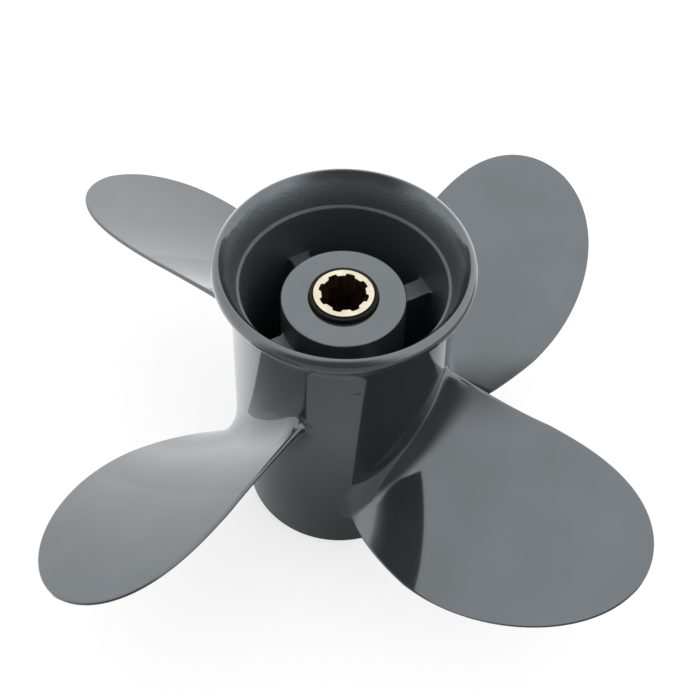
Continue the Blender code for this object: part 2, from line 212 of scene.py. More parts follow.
paint = {
    "colours": ("#4D5357", "#545A5F"),  # the pigment lies a little unevenly
    "cloudSize": 22.0,
    "dryColour": "#61676B",
    "metallic": 0.69,
    "roughness": (0.08, 0.14),  # where the coat lies wet, and where it is a little thinner
    "hazeSize": 34.0,
    "dryRoughness": (0.36, 0.5),
    "patchSize": 11.0,  # patches of wet and dry spray along the lip
    "patchEdge": 0.55,  # the softness of their outlines
    "dustSize": 0.9,
    "coatRoughness": 0.03,
    "wave": (24.0, 0.016),  # size and height of the casting's slow waves under the paint
    "peel": (1.9, 0.0012),  # and of the orange peel
    "grit": (0.8, 0.12),  # and of the dry spray inside
    "nibSpacing": 9.0,  # specks of dust that the coat has closed over
    "nibSize": 0.25,
    "nibHeight": 0.02,
    # level scuffs on the barrel: angle, height and half their length
    "scuffs": ((-106.4, 91.1, 0.8), (-81.1, 91.2, 1.9), (-132.3, 93.6, 0.6)),
    "scuffHeight": 0.25,
    "scuffColour": "#1B1D1E",
    "scuffRoughness": 0.45,
}


def paintRelief(tree, place, dryness):
    # slow waves, orange peel, closed-over nibs, and inside the grit of a dry spray, one bump on the next
    wave, peel, grit = (
        addNode(tree, "ShaderNodeTexNoise", None, {"Scale": perMetre(paint[name][0]), "Detail": detail},
                {"Vector": (place, "Object")})
        for name, detail in (("wave", 1.0), ("peel", 1.0), ("grit", 3.0))
    )
    nib = addNode(tree, "ShaderNodeTexVoronoi", None, {"Scale": perMetre(paint["nibSpacing"])},
                  {"Vector": (place, "Object")})
    nibReach = paint["nibSize"] / paint["nibSpacing"]
    limits = {"From Min": 0.0, "From Max": nibReach, "To Min": 1.0, "To Max": 0.0}
    nibTop = addNode(tree, "ShaderNodeMapRange", {"interpolation_type": "SMOOTHSTEP"}, limits,
                     {"Value": (nib, "Distance")})
    gritHere = addNode(tree, "ShaderNodeMath", {"operation": "MULTIPLY"},
                       links={0: (grit, "Fac"), 1: (dryness, "Result")})
    normal = None
    for source, output, height in ((wave, "Fac", paint["wave"][1]), (peel, "Fac", paint["peel"][1]),
                                   (nibTop, "Result", paint["nibHeight"]), (gritHere, 0, paint["grit"][1])):
        links = {"Height": (source, output)}
        if normal is not None:
            links["Normal"] = (normal, "Normal")
        normal = addNode(tree, "ShaderNodeBump", None, {"Distance": height * millimetre}, links)
    return normal


def sprayDryness(tree, place):
    # the meshes carry how dry the spray fell on them; cloudy patches break up its border
    dryness = addNode(tree, "ShaderNodeAttribute", {"attribute_name": "dryness"})
    wettest = unevenness(tree, place, paint["patchSize"], 0.0, 1 - paint["patchEdge"])
    driest = addNode(tree, "ShaderNodeMath", {"operation": "ADD"}, {1: paint["patchEdge"]},
                     {0: (wettest, "Result")})
    return addNode(tree, "ShaderNodeMapRange", None, None,
                   {"Value": (dryness, "Fac"), "From Min": (wettest, "Result"), "From Max": (driest, 0)})


def scuffMarks(tree, place):
    # flat ellipses on the barrel, each 1 in its middle and 0 at its outline
    marks = None
    for angle, height, half in paint["scuffs"]:
        turn = math.radians(angle)
        radius = draftRadius(height)
        middle = [part * millimetre for part in (radius * math.cos(turn), radius * math.sin(turn), height)]
        sizes = [perMetre(size) for size in (half, half, paint["scuffHeight"])]
        away = addNode(tree, "ShaderNodeVectorMath", {"operation": "SUBTRACT"}, {1: middle},
                       {0: (place, "Object")})
        sized = addNode(tree, "ShaderNodeVectorMath", {"operation": "MULTIPLY"}, {1: sizes},
                        {0: (away, "Vector")})
        distance = addNode(tree, "ShaderNodeVectorMath", {"operation": "LENGTH"},
                           links={0: (sized, "Vector")})
        mark = addNode(tree, "ShaderNodeMapRange", {"interpolation_type": "SMOOTHSTEP"},
                       {"From Min": 0.5, "From Max": 1.0, "To Min": 1.0, "To Max": 0.0},
                       {"Value": (distance, "Value")})
        if marks is None:
            marks = mark
        else:
            marks = addNode(tree, "ShaderNodeMath", {"operation": "MAXIMUM"},
                            links={0: (marks, 0), 1: (mark, 0)})
    return marks


def glossPaint():
    # sprayed enamel flows out wet: sharp reflections that waver a little, with a few nibs and scuffs;
    # deep inside the barrel the spray arrives dry and looks matt and grainy
    material, tree, shader = newMaterial("gloss enamel sprayed on cast aluminium")
    shader.inputs["Metallic"].default_value = paint["metallic"]
    shader.inputs["Coat Roughness"].default_value = paint["coatRoughness"]
    place = addNode(tree, "ShaderNodeTexCoord")
    dryness = sprayDryness(tree, place)
    scuffs = scuffMarks(tree, place)
    cloud = unevenness(tree, place, paint["cloudSize"], 0.0, 1.0)
    darker, paler = map(linearColour, paint["colours"])
    wetColour = addNode(tree, "ShaderNodeMix", {"data_type": "RGBA"}, {6: darker, 7: paler},
                        {0: (cloud, "Result")})
    sprayed = addNode(tree, "ShaderNodeMix", {"data_type": "RGBA"}, {7: linearColour(paint["dryColour"])},
                      {0: (dryness, "Result"), 6: (wetColour, 2)})
    colour = addNode(tree, "ShaderNodeMix", {"data_type": "RGBA"}, {7: linearColour(paint["scuffColour"])},
                     {0: (scuffs, 0), 6: (sprayed, 2)})
    tree.links.new(colour.outputs[2], shader.inputs["Base Color"])
    wet = unevenness(tree, place, paint["hazeSize"], *paint["roughness"])
    dry = unevenness(tree, place, paint["dustSize"], *paint["dryRoughness"])
    smooth = addNode(tree, "ShaderNodeMapRange", None, {"To Max": paint["scuffRoughness"]},
                     {"Value": (scuffs, 0), "To Min": (wet, "Result")})
    rough = addNode(tree, "ShaderNodeMapRange", None, None,
                    {"Value": (dryness, "Result"), "To Min": (smooth, "Result"), "To Max": (dry, "Result")})
    tree.links.new(rough.outputs["Result"], shader.inputs["Roughness"])
    bare = addNode(tree, "ShaderNodeMath", {"operation": "MAXIMUM"},
                   links={0: (dryness, "Result"), 1: (scuffs, 0)})
    coat = addNode(tree, "ShaderNodeMath", {"operation": "SUBTRACT"}, {0: 1.0}, {1: (bare, 0)})
    tree.links.new(coat.outputs[0], shader.inputs["Coat Weight"])
    relief = paintRelief(tree, place, dryness)
    tree.links.new(relief.outputs["Normal"], shader.inputs["Normal"])
    tree.links.new(relief.outputs["Normal"], shader.inputs["Coat Normal"])
    return material


rubberFinish = {
    "colours": ("#0A0908", "#12110E"),  # clean, and with the bloom and dust that new rubber carries
    "bloomSize": 2.6,
    "roughness": (0.38, 0.58),
    "specular": 0.18,  # carbon black swallows most of the gloss
    "grain": (0.3, 0.02),  # size and height of the mould's grain
}


def mouldedRubber():
    # bonded in its mould: matt black with a fine grain and a faint grey bloom
    material, tree, shader = newMaterial("moulded black rubber")
    place = addNode(tree, "ShaderNodeTexCoord")
    bloom = unevenness(tree, place, rubberFinish["bloomSize"], 0.0, 1.0)
    clean, bloomed = map(linearColour, rubberFinish["colours"])
    colour = addNode(tree, "ShaderNodeMix", {"data_type": "RGBA"}, {6: clean, 7: bloomed},
                     {0: (bloom, "Result")})
    tree.links.new(colour.outputs[2], shader.inputs["Base Color"])
    shader.inputs["Specular IOR Level"].default_value = rubberFinish["specular"]
    rough = unevenness(tree, place, rubberFinish["bloomSize"], *rubberFinish["roughness"])
    tree.links.new(rough.outputs["Result"], shader.inputs["Roughness"])
    grain = addNode(tree, "ShaderNodeTexNoise", None,
                    {"Scale": perMetre(rubberFinish["grain"][0]), "Detail": 2.0},
                    {"Vector": (place, "Object")})
    relief = addNode(tree, "ShaderNodeBump", None, {"Distance": rubberFinish["grain"][1] * millimetre},
                     {"Height": (grain, "Fac")})
    tree.links.new(relief.outputs["Normal"], shader.inputs["Normal"])
    return material


brassFinish = {
    "colours": ("#CFC8B4", "#BFB69E"),  # fresh metal, and where it has been handled
    "boreShadeColour": "#BFA98C",
    "faceDepths": (0.35, 0.1),  # depths below the face between which the bore's darker colour, painted shade, takes over
    "patchSize": 3.5,
    "roughness": (0.22, 0.34),
    "turningPitch": 0.32,  # the tool's feed; coarser than real, so that it shows
    "turningHeight": 0.004,
    "broachSizes": (0.25, 0.25, 60.0),  # of the broach's lines, across the bore and along it
    "broachHeight": 0.002,
}


def turnedBrass():
    # a turned face keeps the tool's fine rings and shines pale; the broached bore has lines along it, and
    # below the face the brass is painted a darker brown as shade of the deep bore
    material, tree, shader = newMaterial("turned and broached brass")
    shader.inputs["Metallic"].default_value = 1.0
    place = addNode(tree, "ShaderNodeTexCoord")
    flat = addNode(tree, "ShaderNodeVectorMath", {"operation": "MULTIPLY"}, {1: (1, 1, 0)},
                   {0: (place, "Object")})
    distance = addNode(tree, "ShaderNodeVectorMath", {"operation": "LENGTH"}, links={0: (flat, "Vector")})
    patches = unevenness(tree, place, brassFinish["patchSize"], 0.0, 1.0, 4.0)
    height = addNode(tree, "ShaderNodeSeparateXYZ", links={"Vector": (place, "Object")})
    top = turnedSize("spline_sleeve")[2]
    low, high = (top - depth for depth in brassFinish["faceDepths"])
    limits = {"From Min": low * millimetre, "From Max": high * millimetre}
    onFace = addNode(tree, "ShaderNodeMapRange", None, limits, {"Value": (height, "Z")})
    fresh, handled = map(linearColour, brassFinish["colours"])
    faceColour = addNode(tree, "ShaderNodeMix", {"data_type": "RGBA"}, {6: fresh, 7: handled},
                         {0: (patches, "Result")})
    # painted shade: below the face the brass takes the bore's darker brown
    colour = addNode(tree, "ShaderNodeMix", {"data_type": "RGBA"},
                     {6: linearColour(brassFinish["boreShadeColour"])},
                     {0: (onFace, "Result"), 7: (faceColour, 2)})
    tree.links.new(colour.outputs[2], shader.inputs["Base Color"])
    rough = unevenness(tree, place, brassFinish["patchSize"], *brassFinish["roughness"])
    tree.links.new(rough.outputs["Result"], shader.inputs["Roughness"])
    rings = addNode(tree, "ShaderNodeMath", {"operation": "MULTIPLY"},
                    {1: 2 * math.pi * perMetre(brassFinish["turningPitch"])}, {0: (distance, "Value")})
    ringWave = addNode(tree, "ShaderNodeMath", {"operation": "SINE"}, links={0: (rings, 0)})
    turning = addNode(tree, "ShaderNodeBump", None, {"Distance": brassFinish["turningHeight"] * millimetre},
                      {"Height": (ringWave, 0)})
    scale = [perMetre(size) for size in brassFinish["broachSizes"]]
    lengthwise = addNode(tree, "ShaderNodeMapping", None, {"Scale": scale}, {"Vector": (place, "Object")})
    broach = addNode(tree, "ShaderNodeTexNoise", None, {"Scale": 1.0, "Detail": 2.0},
                     {"Vector": (lengthwise, "Vector")})
    relief = addNode(tree, "ShaderNodeBump", None, {"Distance": brassFinish["broachHeight"] * millimetre},
                     {"Height": (broach, "Fac"), "Normal": (turning, "Normal")})
    tree.links.new(relief.outputs["Normal"], shader.inputs["Normal"])
    return material


# Barrel: the outer tube that carries the blades and flares out at its aft end

rimRadius, _, barrelTop = turnedSize("outer_hub")
barrel = {
    "fullRadius": 35.0,
    "fullHeight": 35.0,  # where the barrel is at its fullest
    "draft": 0.7,  # degrees, aft of the fullest place
    "frontTaper": 3.5,
    "frontRound": 2.3,
    "flareStart": 98.0,
    "lipRound": 3.2,
    "crestRound": 0.5,
    "crestTilt": 25.0,  # where the lip's outer rounding meets its crest
    "bellTilts": (52.0, 80.0),  # the bell's normal leans in by this much at its top and its foot
    "stepHollow": 0.3,
    "stepHeight": 101.0,
    "stepRadius": 31.6,
    "stepEdge": 0.2,
    "wallHeights": (0.0, 36.0, 84.0, 101.0),
    "wallRadii": (27.6, 29.8, 30.4, 31.4),
    "wallBlend": 6.0,  # rounding where the inner wall's taper changes
    "frontEdge": 0.5,
    "dryFade": 4.5,  # depth below the lip in which the spray turns dry
    "steps": 256,
    "lipRows": 24,
    "sideRows": 90,
    "frontRows": 12,
    "crestRows": 14,
    "bellRows": 16,
    "hollowRows": 8,
}


def rimHeight():
    # where the lip's outer rounding is widest
    rise = barrel["lipRound"] - barrel["crestRound"]
    return barrelTop - barrel["crestRound"] - rise * math.cos(math.radians(barrel["crestTilt"]))


def flareRadius():
    # the hollow flare touches the straight barrel below and the lip's rounding above
    reach = rimRadius - barrel["lipRound"] - draftRadius(barrel["flareStart"])
    rise = rimHeight() - barrel["flareStart"]
    return (rise**2 + reach**2 - barrel["lipRound"] ** 2) / (2 * (reach + barrel["lipRound"]))


def draftRadius(height):
    # the full radius less the draft's slope times the height above the fullest place
    return barrel["fullRadius"] - math.tan(math.radians(barrel["draft"])) * (height - barrel["fullHeight"])


def barrelRadius(height):
    # draft aft of the fullest place, a squared taper to the front and a quarter round flare aft
    height = np.asarray(height, float)
    forward = np.clip((barrel["fullHeight"] - height) / barrel["fullHeight"], 0, None)
    rise = np.clip(height - barrel["flareStart"], 0, flareRadius())
    return (
        draftRadius(np.maximum(height, barrel["fullHeight"]))
        - barrel["frontTaper"] * forward**2
        + flareRadius() - np.sqrt(flareRadius() ** 2 - rise**2)
    )


def wallRadius(height):
    # straight tapers between the inner wall's named heights
    return np.interp(height, barrel["wallHeights"], barrel["wallRadii"])


def tiltArc(start, radius, fromTilt, toTilt, count):
    # an arc from start along which the normal's lean from upright goes from one tilt to another;
    # a negative radius makes it hollow
    tilt = np.radians(np.linspace(fromTilt, toTilt, count))
    way = np.stack([-np.sin(tilt), np.cos(tilt)], axis=1)
    return start + radius * (way - way[0])


def mouthLine():
    # from the lip's outer rounding over its crest, down the bell and through the hollow corner to the step
    top, foot = barrel["bellTilts"]
    lean = math.radians(barrel["crestTilt"])
    start = np.array([rimRadius - barrel["lipRound"] * (1 - math.sin(lean)),
                      rimHeight() + barrel["lipRound"] * math.cos(lean)])
    crest = tiltArc(start, barrel["crestRound"], -barrel["crestTilt"], top, barrel["crestRows"])
    fall = crest[-1, 1] - barrel["stepHeight"] - barrel["stepHollow"] * (1 - math.cos(math.radians(foot)))
    bellRadius = fall / (math.cos(math.radians(top)) - math.cos(math.radians(foot)))
    bell = tiltArc(crest[-1], bellRadius, top, foot, barrel["bellRows"])
    corner = tiltArc(bell[-1], -barrel["stepHollow"], foot, 0, barrel["hollowRows"])
    return np.concatenate([crest, bell[1:], corner[1:]])


def barrelProfile():
    # outer side from the lip down, the front end, the inner side up to the step, then the mouth
    lipCentre = (rimRadius - barrel["lipRound"], rimHeight())
    rise = rimHeight() - barrel["flareStart"]
    lean = math.degrees(math.asin(rise / (flareRadius() + barrel["lipRound"])))
    lip = arcPoints(lipCentre, barrel["lipRound"], 90 - barrel["crestTilt"], -lean, barrel["lipRows"])
    share = (1 - np.cos(np.linspace(0, np.pi, barrel["sideRows"]))) / 2
    height = lip[-1, 1] + (barrel["frontRound"] - lip[-1, 1]) * share
    side = np.stack([barrelRadius(height), height], axis=1)
    footRadius = float(barrelRadius(barrel["frontRound"])) - barrel["frontRound"]
    foot = arcPoints((footRadius, barrel["frontRound"]), barrel["frontRound"], 0, -90, barrel["frontRows"])
    mouth = mouthLine()
    innerRise = [(radius, height, barrel["wallBlend"]) for radius, height in
                 zip(barrel["wallRadii"][1:3], barrel["wallHeights"][1:3])]
    inner = roundedLine([
        (footRadius, 0.0, 0.0),
        (barrel["wallRadii"][0], 0.0, barrel["frontEdge"]),
        *innerRise,
        (barrel["wallRadii"][3], barrel["stepHeight"] - 2 * barrel["stepEdge"], barrel["stepEdge"]),
        (barrel["stepRadius"], barrel["stepHeight"], barrel["stepEdge"]),
        (mouth[-1, 0], barrel["stepHeight"], 0.0),
    ])
    outside = np.concatenate([lip[1:], side[1:], foot[1:]])
    profile = np.concatenate([outside, inner[1:], mouth[-2::-1]])
    inside = np.arange(len(profile)) >= len(outside)
    dryness = inside * np.clip((barrelTop - profile[:, 1]) / barrel["dryFade"], 0, 1)
    return profile, dryness


def makeBarrel():
    profile, dryness = barrelProfile()
    points = turnedSurface(profile, barrel["steps"])
    normals = gridNormals(points, closedRows=True)
    piece = addPiece("barrel", points, normals, paintMaterial, "joined", "joined", dryness)
    return seat(piece, "painted_casting", "outer_hub")


paintMaterial = glossPaint()
rubberMaterial = mouldedRubber()
brassMaterial = turnedBrass()
print("materials made")

makeBarrel()
print("barrel made")


# Inner hub: the sleeve and rubber sit in it

hubRadius, hubFront, hubFace = turnedSize("inner_hub")
hub = {
    "faceRadius": 19.3,
    "edge": 0.5,
    "bore": 15.5,  # filled by the rubber up to the shoulder
    "shoulder": 84.0,
    "rise": 2.0,  # the shoulder slopes up by this much to the narrow bore
    "faceBore": 10.7,
    "frontEdge": 0.8,
    "boreEdge": 0.5,
    "neckEdge": 0.3,
    "steps": 192,
}


def hubProfile():
    # from the middle of the aft face out and down the taper, in along the front end, up the wide bore, over
    # its shoulder and up the narrow bore
    return roundedLine([
        ((hub["faceBore"] + hub["faceRadius"]) / 2, hubFace, 0.0),
        (hub["faceRadius"], hubFace, hub["edge"]),
        (hubRadius, hubFront, hub["frontEdge"]),
        (hub["bore"], hubFront, hub["boreEdge"]),
        (hub["bore"], hub["shoulder"], hub["boreEdge"]),
        (hub["faceBore"], hub["shoulder"] + hub["rise"], hub["neckEdge"]),
        (hub["faceBore"], hubFace, hub["neckEdge"]),
        ((hub["faceBore"] + hub["faceRadius"]) / 2 - seam, hubFace, 0.0),
    ])


def hubOuter(height):
    # an even taper from the front end to the aft face
    share = (height - hubFront) / (hubFace - hubFront)
    return hubRadius + (hub["faceRadius"] - hubRadius) * share


def makeHub():
    profile = hubProfile()
    points = turnedSurface(profile, hub["steps"])
    normals = gridNormals(points, closedRows=True)
    dryness = np.clip((hubFace - profile[:, 1]) / hub["edge"], 0, 1)
    piece = addPiece("inner_hub_casting", points, normals, paintMaterial, "joined", "joined", dryness)
    return seat(piece, "painted_casting", "inner_hub")


makeHub()
print("inner hub made")


# Ribs between the inner hub and the barrel

rib = {
    "count": 4,
    "firstAngle": 30.5,
    "thickness": 6.6,
    "flare": 1.3,  # radius of the hollow corner where a rib meets the barrel and the hub
    "edge": 0.35,
    "sink": 0.4,  # how far the rib's ends reach into the walls
    "frontRows": (0.0, 0.5, 0.9),  # rows of points across the flat ends, as shares of the half thickness
    "aftRows": (0.9, 0.7, 0.5, 0.3, 0.15, 0.0),
    "edgeRows": 6,
    "sideRows": 12,
    "endRun": 2.0,  # the straight sides' rows stay this far from both ends
    "cornerPoints": 9,
    "sidePoints": 14,
    "sunkPoints": 7,
}
ribFront, ribTop = (corner.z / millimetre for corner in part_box("rib_1"))


def ribOutline(height, reach):
    # once round a level of the rib, from the hub's side along +y to the barrel and back along -y: straight
    # at y = reach, then a hollow quarter circle out to each wall and a quarter ellipse sunk into it
    outer, inner = wallRadius(height), hubOuter(height)
    turn = np.radians(np.linspace(0, 90, rib["cornerPoints"]))
    cornerY = reach + rib["flare"] * (1 - np.cos(turn))
    outerX = np.sqrt(outer**2 - cornerY**2) - rib["flare"] * (1 - np.sin(turn))
    innerX = np.sqrt(inner**2 - cornerY**2) + rib["flare"] * (1 - np.sin(turn))
    middleX = np.linspace(innerX[0], outerX[0], rib["sidePoints"])[1:-1]
    bend = np.radians(np.linspace(0, 90, rib["sunkPoints"]))[1:]
    endY = cornerY[-1] * np.cos(bend)
    sunkOuter = outerX[-1] + (outer + rib["sink"] - outerX[-1]) * np.sin(bend)
    sunkInner = innerX[-1] - rib["sink"] * np.sin(bend)
    x = np.concatenate([sunkInner[::-1], innerX[::-1], middleX, outerX, sunkOuter])
    y = np.concatenate([endY[::-1], cornerY[::-1], reach + 0 * middleX, cornerY, endY])
    y[0] = y[-1] = 0
    return np.concatenate([x, x[-2:0:-1]]), np.concatenate([y, -y[-2:0:-1]])


def ribSurface():
    # levels of the outline from the front end to the aft end; both flat ends close along the rib's
    # middle line
    half = rib["thickness"] / 2
    bend = np.radians(np.linspace(0, 90, rib["edgeRows"]))
    drop = rib["edge"] * (1 - np.sin(bend))
    narrow = rib["edge"] * (1 - np.cos(bend))
    levels = [(ribFront + up, half - inward) for up, inward in zip(drop[::-1], narrow[::-1])]
    sides = np.linspace(ribFront + rib["endRun"], ribTop - rib["endRun"], rib["sideRows"])
    levels += [(height, half) for height in sides]
    levels += [(ribTop - down, half - inward) for down, inward in zip(drop, narrow)]
    rows = []
    for share in rib["frontRows"]:
        x, y = ribOutline(*levels[0])
        rows.append(np.stack([x, y * share, levels[0][0] + 0 * x], axis=1))
    for height, reach in levels:
        x, y = ribOutline(height, reach)
        rows.append(np.stack([x, y, height + 0 * x], axis=1))
    x, y = ribOutline(*levels[-1])
    for share in rib["aftRows"]:
        rows.append(np.stack([x, y * share, levels[-1][0] + 0 * x], axis=1))
    return np.array(rows)


def turnedBy(points, degrees):
    # the same points, turned round the shaft
    angle = math.radians(degrees)
    cosine, sine = math.cos(angle), math.sin(angle)
    turn = np.array([[cosine, -sine, 0], [sine, cosine, 0], [0, 0, 1]])
    return points @ turn.T


def makeRibs():
    points = ribSurface()
    normals = gridNormals(points, closedRows=False)
    normals[:len(rib["frontRows"])] = (0, 0, -1)
    normals[-len(rib["aftRows"]):] = (0, 0, 1)
    for number in range(rib["count"]):
        angle = rib["firstAngle"] + number * 360 / rib["count"]
        piece = addPiece(f"rib_casting_{number + 1}", turnedBy(points, angle), turnedBy(normals, angle),
                         paintMaterial, "folded", "folded", np.ones(len(points)))
        seat(piece, "painted_casting", f"rib_{number + 1}")


makeRibs()
print("ribs made")


# Blades: sections drawn on cylinders round the shaft, along a true helix

blade = {
    "count": 4,
    "firstAngle": -51.5,
    "tipRadius": 117.5,
    "pitch": 273.0,
    "rootRadius": 34.4,  # where the middle line leaves the barrel
    "midHeight": 50.3,  # and how high
    "rake": 0.125,
    "rakeCurve": -0.54e-3,
    "skew": (-0.024, 0.384, -0.195),
    "widestRadius": 70.1,
    "halfChord": 33.9,
    "rootHalfChord": 31.4,
    "tipPowers": (2.32, 1.99),
    "rootPower": 0.9,
    "rootThickness": 7.6,
    "tipThickness": 2.0,
    "thicknessPower": 0.8,
    "camberPower": 0.9,
    "rootEdge": 2.8,
    "tipEdge": 1.2,
    "edgeFall": 6.0,
    "slopeStep": 0.05,  # step in which the slope of the outline is taken
    "faceSwell": 3.6,  # how far the pressure face swells at the root
    "swellStep": 1.1,  # it grows from this share of the half chord behind the middle to as much ahead
    "swellFade": 3.2,  # and how soon it fades towards the tip
    "backFillet": 4.0,
    "faceRise": (5.0, 12.0),  # height of the pressure face's fillet at the leading edge and the trailing edge
    "faceFillet": 6.0,  # its width on the barrel in the middle
    "filletTurn": 0.2,  # and where along the chord that is
    "leadingFillet": 3.0,  # what it gains towards the leading edge
    "leadingGrowth": 1.2,
    "trailingFillet": 3.2,  # and loses towards the trailing edge
    "leadingNose": 4.5,  # the fillet round each edge
    "trailingNose": 1.7,
    "filletWindows": (6, 30),  # powers of the chord's share with which they pass into it
    "chordStations": 81,
    "filletRows": 30,
    "spanRows": 72,
    "sink": 0.4,
}


def halfChord(radius):
    # a superellipse outside the widest radius, and a slight narrowing inside it
    outer = np.clip((radius - blade["widestRadius"]) / (blade["tipRadius"] - blade["widestRadius"]), 0, 1)
    inner = np.clip((blade["widestRadius"] - radius) / (blade["widestRadius"] - blade["rootRadius"]), 0, None)
    tip = blade["halfChord"] * (1 - outer ** blade["tipPowers"][0]) ** (1 / blade["tipPowers"][1])
    return tip - (blade["halfChord"] - blade["rootHalfChord"]) * inner ** blade["rootPower"]


def spanShare(radius):
    # 0 at the root and 1 at the tip
    return (radius - blade["rootRadius"]) / (blade["tipRadius"] - blade["rootRadius"])


def bladePlace(radius, along, across):
    # angle and height: the chord lies along the helix, so a step along it turns by cos(climb) and rises
    # by sin(climb); the middle line is skewed along the helix by a cubic of the span and raked by a parabola
    share = spanShare(radius)
    skew = blade["skew"][0] * share + blade["skew"][1] * share**2 + blade["skew"][2] * share**3
    out = radius - blade["rootRadius"]
    climb = np.arctan2(blade["pitch"], 2 * np.pi * radius)
    angle = skew + (along * np.cos(climb) - across * np.sin(climb)) / radius
    middle = blade["midHeight"] + blade["rake"] * out + blade["rakeCurve"] * out**2
    height = middle + blade["pitch"] / (2 * np.pi) * skew + along * np.sin(climb) + across * np.cos(climb)
    return angle, height


def faceSwell(share, span):
    # the pressure face stands out a little, most over its leading half at the root: a smooth step along the
    # chord, times a parabola that closes it at both edges
    ahead = np.clip((1 - share / blade["swellStep"]) / 2, 0, 1)
    grown = ahead**2 * (3 - 2 * ahead) * (1 - share**2)
    return blade["faceSwell"] * grown * (1 - span) ** blade["swellFade"]


def sectionLoop(radius, share, onFace):
    # once round a section: flat pressure face, crowned suction face, and round edges that thicken at the root
    reach = halfChord(radius)
    slope = (reach - halfChord(radius - blade["slopeStep"])) / blade["slopeStep"]
    inside = reach * (1 - abs(share)) / np.sqrt(1 + slope**2)
    span = np.clip(spanShare(radius), 0, 1)
    edge = blade["tipEdge"] + (blade["rootEdge"] - blade["tipEdge"]) * np.exp(
        (barrel["fullRadius"] - radius) / blade["edgeFall"])
    thinned = (blade["rootThickness"] - blade["tipThickness"]) * span ** blade["thicknessPower"]
    full = blade["rootThickness"] - thinned
    roundness = np.sqrt(1 - np.clip(1 - 2 * inside / edge, 0, 1) ** 2)
    face = (1 - roundness) * edge / 2 - faceSwell(share, span)
    back = (1 + roundness) * edge / 2 + (full - edge) * (1 - share**2) ** blade["camberPower"]
    return reach * share, -np.where(onFace, face, back)


def rootFillet(share, onFace):
    # the root fillet's reach along the barrel and its height above it, quarter ellipses; on the pressure face
    # it is wide and low towards the leading edge, narrow and high towards the trailing edge
    ahead = np.clip((blade["filletTurn"] - share) / (1 + blade["filletTurn"]), 0, 1)
    behind = np.clip((share - blade["filletTurn"]) / (1 - blade["filletTurn"]), 0, 1)
    width = (
        blade["faceFillet"]
        + blade["leadingFillet"] * ahead ** blade["leadingGrowth"]
        - blade["trailingFillet"] * behind
    )
    height = np.interp(share, (-1, 1), blade["faceRise"])
    nose = np.interp(share, (-1, 1), (blade["leadingNose"], blade["trailingNose"]))
    window = 1 - abs(share) ** np.where(share < 0, *blade["filletWindows"])
    reach = nose + (np.where(onFace, width, blade["backFillet"]) - nose) * window
    rise = nose + (np.where(onFace, height, blade["backFillet"]) - nose) * window
    return reach, rise


def bladeSurface():
    # rings from the foot of the root fillet to the tip; each fillet row is a step of a quarter ellipse,
    # lifted by rise (1 - sin bend) from the barrel and spread by reach (1 - cos bend) along it;
    # one more ring beyond the foot gives the foot its normals
    stations = blade["chordStations"]
    line = np.sin(np.linspace(-np.pi / 2, np.pi / 2, stations))
    share = np.concatenate([line, line[-2:0:-1]])
    onFace = np.arange(len(share)) < stations
    rootRadius = barrel["fullRadius"]
    along, across = sectionLoop(np.full(len(share), rootRadius), share, onFace)
    angle, height = bladePlace(rootRadius, along, across)
    flat = np.stack([angle * rootRadius, height], axis=1)
    tangent = np.roll(flat, -1, axis=0) - np.roll(flat, 1, axis=0)
    outward = np.stack([-tangent[:, 1], tangent[:, 0]], axis=1)
    outward = outward / np.linalg.norm(outward, axis=1)[:, None]
    reach, rise = rootFillet(share, onFace)
    barrelHere = barrelRadius(height)
    rings = []
    bends = np.radians(np.linspace(90, 0, blade["filletRows"]))
    for bend in (2 * bends[0] - bends[1], *bends):
        lift = rise * np.clip(1 - np.sin(min(bend, np.pi / 2)), 0, None)
        spread = reach * (1 - np.cos(bend))
        radius = barrelHere + lift
        along, across = sectionLoop(radius, share, onFace)
        ringAngle, ringHeight = bladePlace(radius, along, across)
        ringAngle = ringAngle + outward[:, 0] * spread / radius
        ringHeight = ringHeight + outward[:, 1] * spread
        rings.append(onShaft(barrelRadius(ringHeight) + lift, ringAngle, ringHeight))
    start = barrelHere + rise
    for step in np.sin(np.linspace(0, np.pi / 2, blade["spanRows"]))[1:]:
        radius = start + (blade["tipRadius"] - start) * step
        along, across = sectionLoop(radius, share, onFace)
        rings.append(onShaft(radius, *bladePlace(radius, along, across)))
    shown = np.array(rings)
    normals = gridNormals(shown, closedRows=False)[1:]
    shown = shown[1:]
    # a hidden floor under the foot, sunk into the barrel, which closes the mesh
    mirror = (len(share) - np.arange(len(share))) % len(share)
    radial = shown[0] * (1, 1, 0)
    radial = radial / np.linalg.norm(radial, axis=1)[:, None]
    sunk = shown[0] - radial * blade["sink"]
    spine = (sunk + sunk[mirror]) / 2
    floorRows = np.array([spine, (spine + sunk) / 2, sunk])
    points = np.concatenate([floorRows, shown])
    normals = np.concatenate([-np.array([radial] * 3), normals])
    normals[-1] = normals[-2].mean(axis=0)
    return points, normals


def makeBlades():
    points, normals = bladeSurface()
    for number in range(blade["count"]):
        angle = blade["firstAngle"] + number * 360 / blade["count"]
        piece = addPiece(f"blade_casting_{number + 1}", turnedBy(points, angle), turnedBy(normals, angle),
                         paintMaterial, "folded", "pole")
        seat(piece, "painted_casting", f"blade_{number + 1}")


makeBlades()
print("blades made")


# Rubber bush between the hub and the sleeve

bushRadius, bushFront, bushAft = turnedSize("rubber_bush")
sleeveRadius, sleeveFront, sleeveAft = turnedSize("spline_sleeve")
bush = {
    "gap": 0.05,
    "aftEdge": 0.25,
    "neckDrop": 0.3,  # how far it stays below the hub's sloping shoulder, at the neck and at the wide bore
    "shoulderDrop": 0.6,
    "neckEdge": 0.2,
    "edge": 0.4,
    "steps": 160,
}


